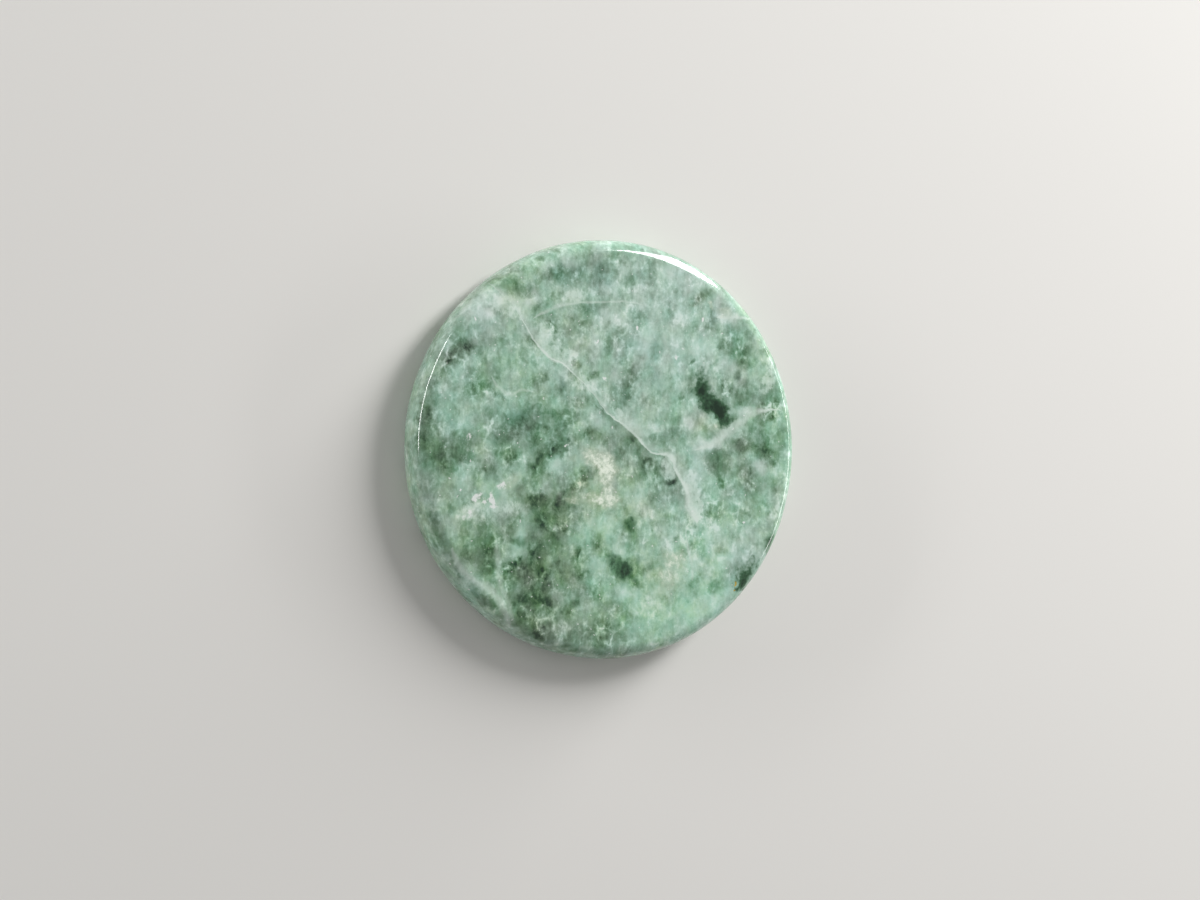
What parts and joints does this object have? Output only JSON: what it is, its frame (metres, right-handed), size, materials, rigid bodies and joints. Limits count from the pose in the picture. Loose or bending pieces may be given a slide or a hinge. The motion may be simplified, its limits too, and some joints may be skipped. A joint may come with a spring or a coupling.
{
  "type": "jadeite disc",
  "caption": "Solid polished disc of mottled green jadeite with flat faces and a softly rounded edge, lying flat.",
  "frame": {"origin": "middle of the back face, on the surface that the disc lies on", "axes": "+Z is the disc's own axis and points out of the face that the picture shows; +Y is up in the picture and +X is its right"},
  "size_m": [0.05, 0.05, 0.0055],
  "materials": {
    "jadeite": "polished, mottled pale and dark green with whitish veins and near-black flecks"
  },
  "bodies": {
    "root": {"jadeite_disc": "jadeite"}
  },
  "joints": []
}
